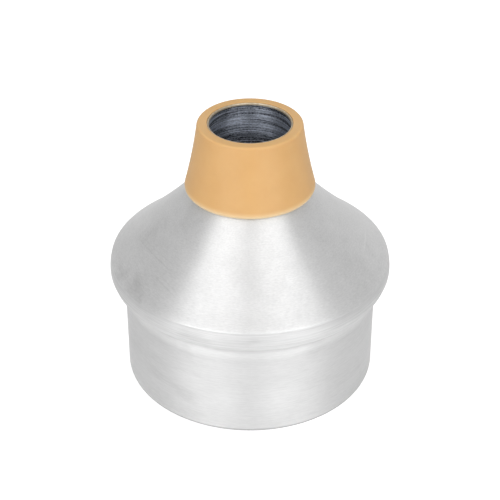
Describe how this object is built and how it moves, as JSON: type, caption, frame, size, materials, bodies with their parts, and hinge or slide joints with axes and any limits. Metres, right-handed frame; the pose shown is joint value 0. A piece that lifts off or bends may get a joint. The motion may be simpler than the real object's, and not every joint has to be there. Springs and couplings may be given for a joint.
{
  "type": "stem mute for a trumpet",
  "caption": "Spun aluminium trumpet mute: conical upper shell on a round base cup, foam collar round the open neck, corked stem socket in the end face.",
  "frame": {"origin": "on the axis of the mute, in the plane of the ring that it stands on", "axes": "+Z along the axis, from the base towards the neck, which goes into the bell of the trumpet"},
  "size_m": [0.1, 0.1, 0.0986],
  "materials": {
    "spun_aluminium": "satin",
    "drawn_aluminium": "satin",
    "turned_aluminium": "satin",
    "sealant": "matte",
    "collar_foam": "matte",
    "contact_adhesive": "matte",
    "cork": "matte"
  },
  "bodies": {
    "root": {"upper_shell": "spun_aluminium", "base_cup": "drawn_aluminium", "seam_seal": "sealant", "bell_collar": "collar_foam", "collar_glue": "contact_adhesive", "stem_socket": "turned_aluminium", "socket_lock_ring": "turned_aluminium", "socket_cork": "cork"}
  },
  "joints": []
}
